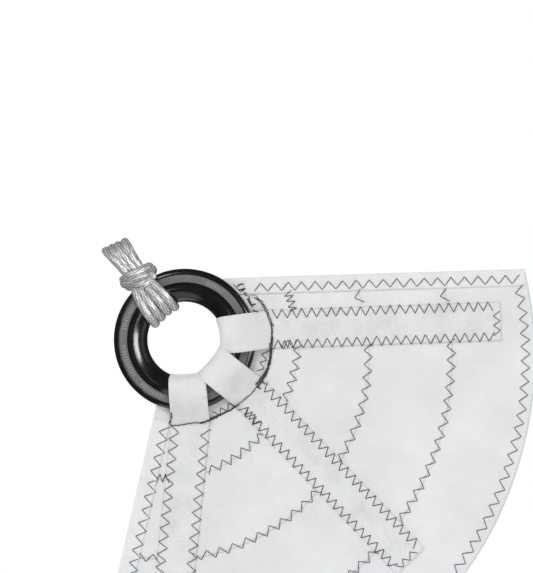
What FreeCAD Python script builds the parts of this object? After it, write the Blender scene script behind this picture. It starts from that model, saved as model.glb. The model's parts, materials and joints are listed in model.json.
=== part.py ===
import FreeCAD, Part
import math
import os
import Sketcher

# Thimble eye: a round grooved thimble that three webbing straps hold in the reinforced corner of a
# sail, with the rope lashing that ties it to a fitting. Millimetres, +Z up. The origin is the middle
# of the thimble, whose axis is Y, and the front is -Y. An azimuth turns from +X towards +Z.

SIZES = {
    # thimble section: distance from the axis, and half thickness along the axis
    "bore_radius": 20.0,
    "crown_radius": 26.75,
    "crown_half": 9.3,
    "step_radius": 28.3,
    "step_half": 8.2,
    "face_radius": 30.2,
    "face_half": 6.4,
    "crown_round": 1.5,
    "lip_radius": 34.5,
    "lip_round": 3.0,
    "groove_mouth": 2.6,
    "groove_radius": 34.3,
    # webbing straps
    "strap_width": 20.0,
    "strap_thick": 1.2,
    "strap_gap": 0.35,
    "strap_sweep": 46.0,
    "tail_root": 44.5,
    "upper_azimuth": 7.0,
    "upper_swing": -5.0,
    "upper_reach": 168.0,
    "diagonal_azimuth": -39.5,
    "diagonal_swing": -6.8,
    "diagonal_reach": 168.0,
    "lower_azimuth": -86.0,
    "lower_swing": -9.9,
    "lower_reach": 168.0,
    # cloth corner: its layers, edges and cut
    "core_thick": 1.0,
    "ply_thick": 0.3,
    "core_inner": 36.0,
    "ply_inner": 44.5,
    "arc_x": -9.5,
    "arc_z": -9.5,
    "cut_radius": 195.0,
    "wide_radius": 151.0,
    "middle_radius": 107.0,
    "small_radius": 72.1,
    "small_x": -12.0,
    "small_z": -2.0,
    "top_offset": 31.5,
    "top_heading": 1.74,
    "side_offset": 6.9,
    "side_heading": -102.8,
    "tape_thick": 0.4,
    "top_tape_width": 8.6,
    "side_tape_width": 9.0,
    "tape_inner": 38.2,
    # hand whipping thread round the roots of the straps
    "whipping_radius": 44.2,
    "whipping_round": 0.6,
    "whipping_start": 30.0,
    "whipping_lift": 3.98,
    "strap_half_angle": 14.0,
    # rope lashing, in a frame turned to its own azimuth
    "lashing_azimuth": 126.3,
    "rope_round": 2.0,
    "turns_half_width": 8.4,
    "loop_centre": 28.2,
    "loop_inner": 10.5,
    "waist_reach": 44.0,
    "waist_half": 2.5,
    "becket_centre": 52.7,
    "becket_inner": 6.0,
    "pinch_half": 6.3,
    "becket_half_width": 7.25,
    "collar_start": 39.8,
    "collar_end": 49.4,
    "collar_half_width": 10.4,
    "collar_half_depth": 11.1,
    "collar_round": 2.5,
    "end_reach": 41.0,
    "end_side": 6.2,
    "end_depth": 11.6,
    "end_length": 7.5,
}
END_WAY = (-0.85, -0.45, -0.1)  # the way that the rope's cut end points: reach, depth, across
PATCHES = ("wide", "middle", "small")  # the reinforcing plies on each face, from the core outwards
NOSE = FreeCAD.Vector(0, -1, 0)  # the thimble's axis towards the front
FLAT = 1e-4  # two ends nearer than this are one corner

doc = FreeCAD.newDocument("thimble_eye")
sheet = doc.addObject("Spreadsheet::Sheet", "sizes")
for row, (name, number) in enumerate(SIZES.items(), start=1):
    sheet.set(f"A{row}", name.replace("_", " "))
    sheet.set(f"B{row}", str(number))
    sheet.setAlias(f"B{row}", name)
doc.recompute()


def size(name):
    """A driving dimension, read from the sheet."""
    return float(sheet.get(name))


def point(x, y):
    return FreeCAD.Vector(x, y, 0)


def polar(radius, degrees):
    angle = math.radians(degrees)
    return point(radius * math.cos(angle), radius * math.sin(angle))


def angle_of(centre, place):
    return math.atan2(place.y - centre.y, place.x - centre.x)


def arc(centre, start, end):
    """The anticlockwise arc about centre from start to end."""
    circle = Part.Circle(centre, FreeCAD.Vector(0, 0, 1), (start - centre).Length)
    return Part.ArcOfCircle(circle, angle_of(centre, start), angle_of(centre, end))


def line(start, end):
    return Part.LineSegment(start, end)


def polygon(places):
    return [line(a, b) for a, b in zip(places, places[1:] + places[:1])]


def flipped(places):
    """The same places on the other side of the x axis."""
    return [point(p.x, -p.y) for p in places]


def centre_through(reach, rim, half):
    """The centre, on the x axis, of the circle through (reach, 0) and (rim, half)."""
    return (rim**2 + half**2 - reach**2) / (2 * (rim - reach))


def tangent_point(centre, radius, outside, side):
    """Where the tangent from the point outside touches the circle, on the side +1 or -1."""
    spread = math.acos(radius / (outside - centre).Length)
    angle = angle_of(centre, outside) + side * spread
    return centre + point(radius * math.cos(angle), radius * math.sin(angle))


def crossing(a, b, c, d):
    """Where the line through a and b meets the line through c and d."""
    first, second, gap = b - a, d - c, c - a
    share = (gap.x * second.y - gap.y * second.x) / (first.x * second.y - first.y * second.x)
    return a + first * share


def on_circle(place, heading, centre, radius):
    """Where the line from place along heading leaves the circle."""
    along, gap = polar(1, heading), place - centre
    middle = gap.x * along.x + gap.y * along.y
    return place + along * (-middle + math.sqrt(middle**2 - gap.Length**2 + radius**2))


def new_body(name):
    body = doc.addObject("PartDesign::Body", name)
    body.Label = name
    return body


def plane_of(body, role):
    return next(f for f in body.Origin.OriginFeatures if f.Role == role)


def new_sketch(body, name, role, shapes, lift=None):
    """A closed sketch on one of the body's origin planes. Ends that meet are made coincident."""
    sketch = body.newObject("Sketcher::SketchObject", name)
    sketch.AttachmentSupport = [(plane_of(body, role), "")]
    sketch.MapMode = "FlatFace"
    if lift:
        sketch.setExpression("AttachmentOffset.Base.z", lift)
    sketch.addGeometry(shapes, False)
    ends = []
    for i, shape in enumerate(shapes):
        ends += [(i, 1, shape.StartPoint), (i, 2, shape.EndPoint)]
    for n, (i, k, p) in enumerate(ends):
        for j, m, q in ends[n + 1 :]:
            if i != j and (p - q).Length < FLAT:
                sketch.addConstraint(Sketcher.Constraint("Coincident", i, k, j, m))
    return sketch


def bind_radius(sketch, shape, name, formula):
    """Ties the radius of one arc of the sketch to the sheet."""
    radius = sketch.Geometry[shape].Radius
    number = sketch.addConstraint(Sketcher.Constraint("Radius", shape, radius))
    sketch.renameConstraint(number, name)
    sketch.setExpression(f"Constraints.{name}", formula)


def bind_distance(sketch, shape, end, across, name, formula):
    """Ties how far one end of a shape lies from the sketch's origin, across X or Y, to the sheet."""
    place = sketch.getPoint(shape, end)
    kind, value = ("DistanceX", place.x) if across == "X" else ("DistanceY", place.y)
    number = sketch.addConstraint(Sketcher.Constraint(kind, -1, 1, shape, end, value))
    sketch.renameConstraint(number, name)
    sketch.setExpression(f"Constraints.{name}", formula)


def pad(body, name, sketch, formula, both_ways=False):
    feature = body.newObject("PartDesign::Pad", name)
    feature.Profile = sketch
    feature.Midplane = both_ways
    feature.setExpression("Length", formula)
    return feature


def cut_through(body, name, sketch):
    feature = body.newObject("PartDesign::Pocket", name)
    feature.Profile = sketch
    feature.Type = "ThroughAll"
    feature.Midplane = True
    return feature


def turned(thing, formula):
    """Turns a sub-part about the thimble's axis to an azimuth of the sheet."""
    thing.Placement = FreeCAD.Placement(FreeCAD.Vector(), FreeCAD.Rotation(NOSE, 1))
    thing.setExpression("Placement.Rotation.Angle", formula)


def bulge_centre():
    """Centre of the rounded inner side of the thimble's section."""
    return centre_through(size("bore_radius"), size("crown_radius"), size("crown_half"))


def make_thimble():
    """The ring: bulged inner side, a step down to flat faces, rounded lips and an outer groove."""
    body = new_body("thimble_ring")
    crown = point(size("crown_radius"), size("crown_half"))
    step = point(size("step_radius"), size("step_half"))
    face = point(size("face_radius"), size("face_half"))
    lip_centre = point(size("lip_radius"), size("face_half") - size("lip_round"))
    lip_top = lip_centre + point(0, size("lip_round"))
    lip_side = lip_centre + point(size("lip_round"), 0)
    mouth = point(lip_side.x, size("groove_mouth"))
    inner = point(bulge_centre(), 0)
    groove = point(centre_through(size("groove_radius"), mouth.x, mouth.y), 0)
    corner = rounding_centre(crown, step, size("crown_round"))
    low = flipped([crown, step, face, lip_top, lip_side, mouth])
    shapes = [
        arc(inner, crown, low[0]),
        arc(corner, step, crown),
        line(step, face),
        line(face, lip_top),
        arc(lip_centre, lip_side, lip_top),
        line(lip_side, mouth),
        arc(groove, mouth, low[5]),
        line(low[5], low[4]),
        arc(point(lip_centre.x, -lip_centre.y), low[3], low[4]),
        line(low[3], low[2]),
        line(low[2], low[1]),
        arc(point(corner.x, -corner.y), low[0], low[1]),
    ]
    section = new_sketch(body, "thimble_section", "XY_Plane", shapes)
    bind_distance(section, 3, 1, "X", "face_in", "sizes.face_radius")
    bind_distance(section, 3, 2, "X", "face_out", "sizes.lip_radius")
    bind_distance(section, 3, 2, "Y", "face_height", "sizes.face_half")
    bind_radius(section, 4, "lip", "sizes.lip_round")
    spin = body.newObject("PartDesign::Revolution", "thimble_turned")
    spin.Profile = section
    spin.ReferenceAxis = (section, ["V_Axis"])
    spin.Angle = 360
    return body


def rounding_centre(a, b, radius):
    """Centre of the rounding that falls from a to b, where b is further out."""
    middle, half = (a + b) * 0.5, (b - a).Length / 2
    along = (b - a) * (0.5 / half)
    return middle + point(along.y, -along.x) * math.sqrt(radius**2 - half**2)


def stack_half():
    """Half thickness of the cloth where every patch lies on it."""
    return size("core_thick") / 2 + len(PATCHES) * size("ply_thick")


def make_strap(name, azimuth, swing, reach):
    """One webbing strap: it goes through the bore and back, and its two tails lie on the cloth."""
    body = new_body(name)
    centre = point(bulge_centre(), 0)
    inner = centre.x - size("bore_radius") + size("strap_gap")
    outer = inner + size("strap_thick")
    low = stack_half()
    high = low + size("strap_thick")
    root = point(size("tail_root"), low)
    stub = size("tail_root") + size("strap_thick")
    touch = tangent_point(centre, inner, root, 1)
    out = (touch - centre) * (1 / inner)
    far_touch = centre + out * outer
    shoulder = crossing(far_touch, far_touch + root - touch, point(0, high), point(1, high))
    top = [touch, root, point(stub, low), point(stub, high), shoulder, far_touch]
    under = flipped(top)
    shapes = [line(a, b) for a, b in zip(top, top[1:])]
    shapes.append(arc(centre, far_touch, under[5]))
    shapes += [line(a, b) for a, b in zip(under[::-1], under[-2::-1])]
    shapes.append(arc(centre, touch, under[0]))
    section = new_sketch(body, name + "_section", "XY_Plane", shapes)
    bind_radius(section, 5, "outside", "sizes.strap_thick + " + str(round(inner, 6)))
    wrap = body.newObject("PartDesign::Revolution", name + "_wrap")
    wrap.Profile = section
    wrap.ReferenceAxis = (section, ["V_Axis"])
    wrap.Midplane = True
    wrap.setExpression("Angle", "sizes.strap_sweep")
    half, wide = size("strap_width") / 2, size("strap_width") * 2
    sides = []
    for sign in (1, -1):
        near, far = sign * half, sign * wide
        sides += polygon([point(0, near), point(2 * wide, near), point(2 * wide, far), point(0, far)])
    edges = new_sketch(body, name + "_edges", "XZ_Plane", sides)
    bind_distance(edges, 0, 1, "Y", "half_width", "sizes.strap_width / 2")
    cut_through(body, name + "_trim", edges)
    along, across = polar(1, size(swing)), polar(1, size(swing) + 90)
    start = point(size("tail_root"), 0)
    end = start + along * (size(reach) - size("tail_root"))
    edge = across * half
    tail = polygon([start - edge, end - edge, end + edge, start + edge])
    outline = new_sketch(body, name + "_tail_outline", "XZ_Plane", tail, lift=f"{low} mm")
    front = pad(body, name + "_tail", outline, "sizes.strap_thick")
    both = body.newObject("PartDesign::Mirrored", name + "_tails")
    both.Originals = [front]
    both.MirrorPlane = (plane_of(body, "XZ_Plane"), [""])
    body.Tip = both
    turned(body, f"sizes.{azimuth}")
    return body


def edge_line(edge):
    """The nearest point of the cloth's top or side edge, the edge's heading, and the way into the cloth."""
    heading, turn = size(f"{edge}_heading"), {"top": 90, "side": -90}[edge]
    outward = polar(1, heading + turn)
    return outward * size(f"{edge}_offset"), heading, outward * -1


def cloth_shapes(inner, outer, centre="arc"):
    """The corner between the top and side edges, from the radius inner about the thimble's axis to
    the radius outer about a centre of its own."""
    top, top_way, _ = edge_line("top")
    side, side_way, _ = edge_line("side")
    origin, far = point(0, 0), point(size(centre + "_x"), size(centre + "_z"))
    top_in, top_out = (on_circle(top, top_way, c, r) for c, r in ((origin, inner), (far, outer)))
    side_in, side_out = (on_circle(side, side_way, c, r) for c, r in ((origin, inner), (far, outer)))
    return [
        line(top_in, top_out),
        arc(far, side_out, top_out),
        line(side_out, side_in),
        arc(origin, side_in, top_in),
    ]


def make_core():
    body = new_body("panel_core")
    shapes = cloth_shapes(size("core_inner"), size("cut_radius"))
    outline = new_sketch(body, "panel_core_outline", "XZ_Plane", shapes)
    bind_radius(outline, 1, "cut", "sizes.cut_radius")
    bind_radius(outline, 3, "inner_edge", "sizes.core_inner")
    pad(body, "panel_core_cloth", outline, "sizes.core_thick", both_ways=True)
    return body


def make_ply(name, radius, layer, front):
    """A reinforcing patch. Layer 0 lies on the core, and each later layer on the one before."""
    body = new_body(name)
    base = f"(sizes.core_thick / 2 + {layer} * sizes.ply_thick) * 1 mm"
    lift = base if front else f"-{base} - sizes.ply_thick * 1 mm"
    centre = "small" if radius == "small_radius" else "arc"
    shapes = cloth_shapes(size("ply_inner"), size(radius), centre)
    outline = new_sketch(body, name + "_outline", "XZ_Plane", shapes, lift=lift)
    bind_radius(outline, 1, "patch", f"sizes.{radius}")
    bind_radius(outline, 3, "inner_edge", "sizes.ply_inner")
    pad(body, name + "_cloth", outline, "sizes.ply_thick")
    return body


def tape_shapes(edge, width, drop):
    """The strip of cloth corner beside one edge, from drop to width inside it."""
    place, way, inward = edge_line(edge)
    origin, far = point(0, 0), point(size("arc_x"), size("arc_z"))
    outside, inside = place + inward * drop, place + inward * width
    a, b = (on_circle(p, way, origin, size("tape_inner")) for p in (outside, inside))
    c, d = (on_circle(p, way, far, size("cut_radius")) for p in (outside, inside))
    if edge == "top":
        return [line(a, c), arc(far, d, c), line(d, b), arc(origin, b, a)]
    return [line(a, c), arc(far, c, d), line(d, b), arc(origin, a, b)]


def make_tape(edge, width):
    """Cloth tape folded over one edge: a strip, less the layers that it folds over."""
    body = new_body(f"edge_tape_{edge}")
    fold = -size("tape_thick")
    outer = new_sketch(body, f"{edge}_tape_outline", "XZ_Plane", tape_shapes(edge, size(width), fold))
    bind_radius(outer, 1, "cut", "sizes.cut_radius")
    thick = f"sizes.core_thick + {2 * len(PATCHES)} * sizes.ply_thick"
    pad(body, f"{edge}_tape_strip", outer, f"{thick} + 2 * sizes.tape_thick", both_ways=True)
    slot = new_sketch(body, f"{edge}_tape_slot", "XZ_Plane", slot_outline(edge, size(width)))
    pocket = body.newObject("PartDesign::Pocket", f"{edge}_tape_fold")
    pocket.Profile = slot
    pocket.Midplane = True
    pocket.setExpression("Length", thick)
    return body


def slot_outline(edge, width):
    """The room inside a folded tape, run past its open side and both its ends."""
    place, way, inward = edge_line(edge)
    past, deep = polar(2 * size("cut_radius"), way), inward * width * 2
    return polygon([place - past, place + past, place + past + deep, place - past + deep])


def make_whipping(name, front):
    """Black hand thread round the strap roots, in one arc on the cloth or over a strap at a time."""
    group = doc.addObject("Part::Compound", name)
    group.Label = name
    half = size("strap_half_angle")
    cloth = stack_half() + size("whipping_round")
    arcs, start = [], size("whipping_start")
    for azimuth in ("upper_azimuth", "diagonal_azimuth", "lower_azimuth"):
        arcs.append((size(azimuth) + half, start, cloth))
        arcs.append((size(azimuth) - half + 1, size(azimuth) + half - 1, size("whipping_lift")))
        start = size(azimuth) - half
    pieces = []
    for number, (low, high, height) in enumerate(arcs, start=1):
        thread = doc.addObject("Part::Torus", f"{name}_{number}")
        thread.setExpression("Radius1", "sizes.whipping_radius")
        thread.setExpression("Radius2", "sizes.whipping_round")
        thread.Angle3 = high - low
        stand = FreeCAD.Rotation(FreeCAD.Vector(1, 0, 0), 90)
        side = -height if front else height
        thread.Placement = FreeCAD.Placement(
            FreeCAD.Vector(0, side, 0), FreeCAD.Rotation(NOSE, low).multiply(stand)
        )
        pieces.append(thread)
    group.Links = pieces
    return group


def lashing_outline(grow):
    """The loops' outline in radial and axial distance, grown by the rope's own thickness."""
    ring, becket = point(size("loop_centre"), 0), point(size("becket_centre"), 0)
    waist = point(size("waist_reach"), size("waist_half"))
    low_touch = tangent_point(ring, size("loop_inner"), waist, 1)
    high_touch = tangent_point(becket, size("becket_inner"), waist, -1)
    low_way = (low_touch - ring) * (1 / size("loop_inner"))
    high_way = (high_touch - becket) * (1 / size("becket_inner"))
    low_edge, high_edge = low_touch + low_way * grow, high_touch + high_way * grow
    neck = crossing(low_edge, low_edge + waist - low_touch, high_edge, high_edge + waist - high_touch)
    low_back, neck_back, high_back = flipped([low_edge, neck, high_edge])
    return [
        arc(ring, low_edge, low_back),
        line(low_back, neck_back),
        line(neck_back, high_back),
        arc(becket, high_back, high_edge),
        line(high_edge, neck),
        line(neck, low_edge),
    ]


def make_lashing_turns():
    """Four turns of rope through the thimble and round the fitting's bar, as one closed band."""
    body = new_body("lashing_turns")
    shapes = lashing_outline(2 * size("rope_round")) + lashing_outline(0)
    section = new_sketch(body, "turns_section", "XY_Plane", shapes)
    bind_radius(section, 0, "outside", "sizes.loop_inner + 2 * sizes.rope_round")
    bind_radius(section, 6, "inside", "sizes.loop_inner")
    pad(body, "turns_band", section, "2 * sizes.turns_half_width", both_ways=True)
    start, waist = size("loop_centre") + size("loop_inner") * 0.6, size("waist_reach")
    full, pinch, top = size("turns_half_width"), size("pinch_half"), size("becket_half_width")
    past = size("becket_centre") * 2
    cuts = []
    for sign in (1, -1):
        cuts += polygon(
            [
                point(start, sign * full),
                point(waist - size("waist_half"), sign * pinch),
                point(waist + size("waist_half"), sign * pinch),
                point(size("becket_centre"), sign * top),
                point(past, sign * top),
                point(past, sign * 2 * full),
                point(start, sign * 2 * full),
            ]
        )
    outline = new_sketch(body, "turns_plan", "XZ_Plane", cuts)
    cut_through(body, "turns_pinch", outline)
    turned(body, "sizes.lashing_azimuth")
    return body


def make_collar(turns):
    """Three frapping turns that draw the lashing's legs together at the waist."""
    block = doc.addObject("Part::Box", "frapping_block")
    block.setExpression("Length", "sizes.collar_end - sizes.collar_start")
    block.setExpression("Width", "2 * sizes.collar_half_depth")
    block.setExpression("Height", "2 * sizes.collar_half_width")
    place = FreeCAD.Vector(size("collar_start"), -size("collar_half_depth"), -size("collar_half_width"))
    turn = FreeCAD.Rotation(NOSE, size("lashing_azimuth"))
    block.Placement = FreeCAD.Placement(turn.multVec(place), turn)
    doc.recompute()
    soft = doc.addObject("Part::Fillet", "frapping_soft")
    soft.Base = block
    rounding = size("collar_round")
    soft.Edges = [(number + 1, rounding, rounding) for number in range(len(block.Shape.Edges))]
    collar = doc.addObject("Part::Cut", "lashing_frapping")
    collar.Label = "lashing_frapping"
    collar.Base = soft
    collar.Tool = turns
    return collar


def make_rope_end(turns, collar):
    """The cut end of the rope, which comes out under the frapping at the front."""
    rope = doc.addObject("Part::Cylinder", "rope_end_stub")
    rope.setExpression("Radius", "sizes.rope_round")
    rope.setExpression("Height", "sizes.end_length")
    turn = FreeCAD.Rotation(NOSE, size("lashing_azimuth"))
    place = FreeCAD.Vector(size("end_reach"), -size("end_depth"), size("end_side"))
    leg = FreeCAD.Rotation(FreeCAD.Vector(0, 0, 1), FreeCAD.Vector(*END_WAY))
    rope.Placement = FreeCAD.Placement(turn.multVec(place), turn.multiply(leg))
    around = doc.addObject("Part::MultiFuse", "rope_round_about")
    around.Shapes = [turns, collar]
    end = doc.addObject("Part::Cut", "lashing_end")
    end.Label = "lashing_end"
    end.Base = rope
    end.Tool = around
    return end


def make_all():
    parts = [make_thimble()]
    for side in ("upper", "diagonal", "lower"):
        parts.append(make_strap(f"strap_{side}", f"{side}_azimuth", f"{side}_swing", f"{side}_reach"))
    parts.append(make_core())
    for face in ("front", "back"):
        for layer, patch in enumerate(PATCHES):
            parts.append(make_ply(f"ply_{face}_{patch}", f"{patch}_radius", layer, face == "front"))
        parts.append(make_whipping(f"whipping_{face}", face == "front"))
    parts.append(make_tape("top", "top_tape_width"))
    parts.append(make_tape("side", "side_tape_width"))
    turns = make_lashing_turns()
    collar = make_collar(turns)
    parts += [turns, collar, make_rope_end(turns, collar)]
    return parts


def check_and_export(parts):
    """Stops on any failed object or bad shape, and only then writes the files."""
    doc.recompute()
    for thing in doc.Objects:
        if {"Invalid", "Error"} & set(thing.State):
            raise RuntimeError(f"{thing.Name} failed: {thing.State}")
    for thing in parts:
        if thing.Shape.isNull() or not thing.Shape.isValid() or not thing.Shape.Solids:
            raise RuntimeError(f"{thing.Label} has a bad shape")
    os.makedirs("parts", exist_ok=True)
    for thing in parts:
        thing.Shape.exportStep(f"parts/{thing.Label}.step")
        print(thing.Label, round(thing.Shape.Volume, 1), len(thing.Shape.Solids))


check_and_export(make_all())
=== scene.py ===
"""Thimble eye: the moulded ring, its webbing straps, the stitched sail corner and the rope lashing."""

import json
import math
import random

import bpy
import numpy as np
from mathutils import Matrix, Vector


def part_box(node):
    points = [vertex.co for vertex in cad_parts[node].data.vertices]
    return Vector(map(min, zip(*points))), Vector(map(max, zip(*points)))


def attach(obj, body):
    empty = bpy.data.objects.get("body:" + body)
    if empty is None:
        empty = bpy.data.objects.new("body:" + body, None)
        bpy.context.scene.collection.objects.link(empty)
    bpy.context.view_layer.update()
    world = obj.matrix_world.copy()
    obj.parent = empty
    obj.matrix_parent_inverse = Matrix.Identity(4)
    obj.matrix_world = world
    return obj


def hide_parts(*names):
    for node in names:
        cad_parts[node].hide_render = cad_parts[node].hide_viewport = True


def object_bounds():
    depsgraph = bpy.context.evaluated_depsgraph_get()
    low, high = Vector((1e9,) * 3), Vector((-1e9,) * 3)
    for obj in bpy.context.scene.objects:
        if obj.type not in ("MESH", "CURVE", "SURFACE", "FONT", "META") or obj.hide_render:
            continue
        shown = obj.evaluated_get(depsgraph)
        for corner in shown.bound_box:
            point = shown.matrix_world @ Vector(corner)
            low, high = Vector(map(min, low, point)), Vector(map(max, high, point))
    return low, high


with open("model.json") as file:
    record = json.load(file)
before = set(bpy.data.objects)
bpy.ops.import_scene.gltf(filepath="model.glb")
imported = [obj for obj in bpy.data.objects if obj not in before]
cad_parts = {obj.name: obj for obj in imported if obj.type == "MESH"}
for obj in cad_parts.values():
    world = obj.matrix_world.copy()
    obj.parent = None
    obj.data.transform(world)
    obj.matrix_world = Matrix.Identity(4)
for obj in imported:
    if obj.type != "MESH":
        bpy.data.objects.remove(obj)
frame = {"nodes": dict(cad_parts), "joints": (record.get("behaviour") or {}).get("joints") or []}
CAD_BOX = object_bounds()

MM = 0.001
FRONT, BACK = -1, 1  # the way of each face of the sail along Y
SWING = next(joint for joint in frame["joints"] if joint["name"] == "lashing_swing")


# ---------------------------------------------------------------- sizes, from the frame, in millimetres
def extent(node, axis):
    low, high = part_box(node)
    return (high[axis] - low[axis]) / MM


CORE_HALF = extent("panel_core", 1) / 2
PLY = extent("ply_front_wide", 1)  # thickness of one patch
STACK = CORE_HALF + 3 * PLY  # half thickness of the cloth where all its patches lie
TAPE = extent("edge_tape_top", 1) / 2 - STACK  # thickness of the edge tapes
STRAP_WIDTH, STRAP_THICK = 20.0, 1.2
RING_CORE = 28.2  # radius at the middle of the ring's section, where the lashing swings
FLAT_FACE = 6.4  # depth of the ring's flat faces from its middle
REFLECTION_BAND_RADIUS, REFLECTION_BAND_HALF = 32.3, 1.95  # of the grey stripe painted round each flat face, a painted reflection of a bright lamp
AIR = 0.02  # gap between a layer and what lies on it
STEP = 0.4  # half width of the soft step at a patch's edge
LASHING_AZIMUTH = math.degrees(math.atan2(SWING["pos_m"][2], SWING["pos_m"][0]))

CORNER_CENTRE = (-9.5, -9.5)  # of the cut edge and of the two larger patches
PATCHES = {  # centre and radius of each patch's outer edge
    "small": ((-12.0, -2.0), 72.1),
    "middle": (CORNER_CENTRE, 107.0),
    "wide": (CORNER_CENTRE, 151.0),
}
CUT_RADIUS = 195.0  # of the cloth's cut edge
CORE_INNER, PLY_INNER = 36.0, 44.5  # radii of the cloth's and the patches' edges at the ring
TOP_EDGE = (31.5, 1.74, 90)  # distance from the ring's centre, heading, and the way out of the cloth
SIDE_EDGE = (6.9, -102.8, -90)
TOP_TAPE, SIDE_TAPE, TAPE_INNER = 8.6, 9.0, 38.2  # widths of the edge tapes, and where they start
STRAPS = {"upper": (7.0, -5.0), "diagonal": (-39.5, -6.8), "lower": (-86.0, -9.9)}  # azimuth, tail's swing
TAIL_ROOT, TAIL_END = 44.5, 168.0  # where the straps' tails start and end, from the ring's centre
STRAP_BEND = 26.8  # radius at which the straps bend round the ring


# ---------------------------------------------------------------- small helpers
def polar(radius, degrees):
    angle = math.radians(degrees)
    return np.array([radius * math.cos(angle), radius * math.sin(angle)])


def smooth(low, high, value):
    share = np.clip((value - low) / (high - low), 0, 1)
    return share * share * (3 - 2 * share)


def distances(line):
    """How far along a line each of its points lies."""
    return np.concatenate([[0], np.cumsum(np.linalg.norm(np.diff(line, axis=0), axis=1))])


def turned(azimuth, reach, across, depth):
    """A place in metres, from its distance along an azimuth, across it and along Y, in millimetres."""
    (cx, cz), (sx, sz) = polar(1, azimuth), polar(1, azimuth + 90)
    return Vector((reach * cx + across * sx, depth, reach * cz + across * sz)) * MM


def new_mesh(name, vertices, faces, smooth_shading=True):
    mesh = bpy.data.meshes.new(name)
    mesh.from_pydata([tuple(v) for v in vertices], [], faces)
    mesh.polygons.foreach_set("use_smooth", [smooth_shading] * len(mesh.polygons))
    mesh.update()
    piece = bpy.data.objects.new(name, mesh)
    bpy.context.scene.collection.objects.link(piece)
    return piece


def grid_faces(rows, columns, start=0, wrap=False, flip=False):
    """Quads of a grid of rows by columns vertices. wrap joins the last column to the first."""
    faces = []
    for i in range(rows - 1):
        for j in range(columns if wrap else columns - 1):
            k = (j + 1) % columns
            quad = [i * columns + j, i * columns + k, (i + 1) * columns + k, (i + 1) * columns + j]
            faces.append([start + n for n in (reversed(quad) if flip else quad)])
    return faces


def store(piece, name, values):
    """A number or vector for each vertex, which the materials read."""
    values = np.asarray(values, float)
    kind, field = ("FLOAT", "value") if values.ndim == 1 else ("FLOAT_VECTOR", "vector")
    layer = piece.data.attributes.new(name, kind, "POINT")
    layer.data.foreach_set(field, values.ravel())


def paint(piece, material):
    piece.data.materials.clear()
    piece.data.materials.append(material)


# ---------------------------------------------------------------- materials
class Nodes:
    """A material's node tree, with short ways to add and join nodes."""

    def __init__(self, name):
        self.material = bpy.data.materials.new(name)
        self.material.use_nodes = True
        self.tree = self.material.node_tree
        self.shader = self.tree.nodes["Principled BSDF"]

    def add(self, kind, **settings):
        node = self.tree.nodes.new(kind)
        for key, value in settings.items():
            setattr(node, key, value)
        return node

    def link(self, source, target):
        self.tree.links.new(source, target)

    def math(self, operation, *values):
        node = self.add("ShaderNodeMath", operation=operation)
        for socket, value in zip(node.inputs, values):
            if isinstance(value, (int, float)):
                socket.default_value = value
            else:
                self.link(value, socket)
        return node.outputs[0]

    def noise(self, scale, detail=4.0, roughness=0.55, vector=None, stretch=None):
        node = self.add("ShaderNodeTexNoise")
        node.inputs["Scale"].default_value = scale
        node.inputs["Detail"].default_value = detail
        node.inputs["Roughness"].default_value = roughness
        source = vector or self.add("ShaderNodeTexCoord").outputs["Object"]
        if stretch:
            mapping = self.add("ShaderNodeMapping")
            mapping.inputs["Scale"].default_value = stretch
            self.link(source, mapping.inputs["Vector"])
            source = mapping.outputs[0]
        self.link(source, node.inputs["Vector"])
        return node.outputs["Fac"]

    def ramp(self, source, *stops):
        node = self.add("ShaderNodeValToRGB")
        elements = node.color_ramp.elements
        while len(elements) < len(stops):
            elements.new(0.5)
        for element, (place, colour) in zip(elements, stops):
            element.position = place
            element.color = (*colour, 1)
        self.link(source, node.inputs[0])
        return node.outputs[0]

    def mix(self, share, a, b, blend="MIX"):
        node = self.add("ShaderNodeMix", data_type="RGBA", blend_type=blend)
        for socket, value in ((node.inputs[0], share), (node.inputs[6], a), (node.inputs[7], b)):
            if isinstance(value, (int, float)):
                socket.default_value = value
            elif isinstance(value, tuple):
                socket.default_value = (*value, 1)
            else:
                self.link(value, socket)
        return node.outputs[2]

    def bump(self, height, strength, distance, before=None):
        node = self.add("ShaderNodeBump")
        node.inputs["Strength"].default_value = strength
        node.inputs["Distance"].default_value = distance
        self.link(height, node.inputs["Height"])
        if before:
            self.link(before, node.inputs["Normal"])
        return node.outputs[0]

    def finish(self, colour=None, roughness=None, normal=None, **values):
        for name, source in (("Base Color", colour), ("Roughness", roughness), ("Normal", normal)):
            if source is not None:
                self.link(source, self.shader.inputs[name])
        for name, value in values.items():
            self.shader.inputs[name.replace("_", " ")].default_value = value
        return self.material


def grey(value, tint=0.0):
    """A grey, with its blue raised by a share."""
    return (value, value, value * (1 + tint))


def weave_height(nodes, u, v, pitch):
    """Plain weave: threads over and under in u and v, both in metres, pitch apart."""
    turn = 2 * math.pi / pitch
    warp = nodes.math("SINE", nodes.math("MULTIPLY", u, turn))
    weft = nodes.math("SINE", nodes.math("MULTIPLY", v, turn))
    return nodes.math("MULTIPLY", warp, weft)


def sailcloth():
    n = Nodes("sailcloth")
    place = n.add("ShaderNodeSeparateXYZ")
    n.link(n.add("ShaderNodeTexCoord").outputs["Object"], place.inputs[0])
    weave = weave_height(n, place.outputs["X"], place.outputs["Z"], 0.9 * MM)
    blotch = n.noise(28, 5, 0.6)
    fine = n.noise(600, 3, 0.7)
    base = n.ramp(blotch, (0.3, grey(0.66, 0.012)), (0.7, grey(0.75, 0.012)))
    colour = n.mix(0.10, base, n.ramp(fine, (0.35, grey(0.35)), (0.65, grey(0.95))), "SOFT_LIGHT")
    normal = n.bump(n.noise(55, 4, 0.55), 0.35, 0.5 * MM)
    normal = n.bump(weave, 0.12, 0.05 * MM, normal)
    rough = n.math("MULTIPLY_ADD", fine, 0.2, 0.5)
    return n.finish(colour, rough, normal, Sheen_Weight=0.15)


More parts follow.
